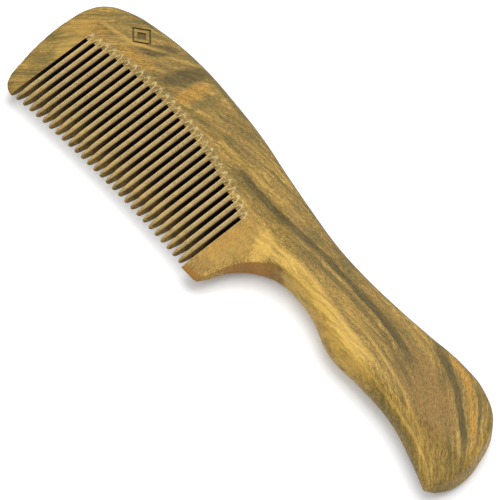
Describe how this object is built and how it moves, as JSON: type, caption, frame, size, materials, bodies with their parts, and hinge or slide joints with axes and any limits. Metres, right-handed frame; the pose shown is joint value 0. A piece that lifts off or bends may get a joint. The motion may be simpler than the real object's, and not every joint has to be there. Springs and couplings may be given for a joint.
{
  "type": "beard comb",
  "caption": "Flat wooden comb with fine saw-cut teeth between two guards, a curved back, a finger notch and a long shaped handle.",
  "frame": {"origin": "centre of the bounding box in plan, on the lower flat face, z = 0 on the surface the comb lies on", "axes": "+X along the length from the head end to the tail, +Y across from the teeth to the back edge, +Z through the thickness"},
  "size_m": [0.18, 0.046, 0.01],
  "materials": {
    "wood": "satin"
  },
  "bodies": {
    "root": {"spine": "wood", "handle": "wood", "end_guard": "wood", "heel_guard": "wood", "tooth_01": "wood", "tooth_02": "wood", "tooth_03": "wood", "tooth_04": "wood", "tooth_05": "wood", "tooth_06": "wood", "tooth_07": "wood", "tooth_08": "wood", "tooth_09": "wood", "tooth_10": "wood", "tooth_11": "wood", "tooth_12": "wood", "tooth_13": "wood", "tooth_14": "wood", "tooth_15": "wood", "tooth_16": "wood", "tooth_17": "wood", "tooth_18": "wood", "tooth_19": "wood", "tooth_20": "wood", "tooth_21": "wood", "tooth_22": "wood", "tooth_23": "wood", "tooth_24": "wood", "tooth_25": "wood", "tooth_26": "wood", "tooth_27": "wood"}
  },
  "joints": []
}
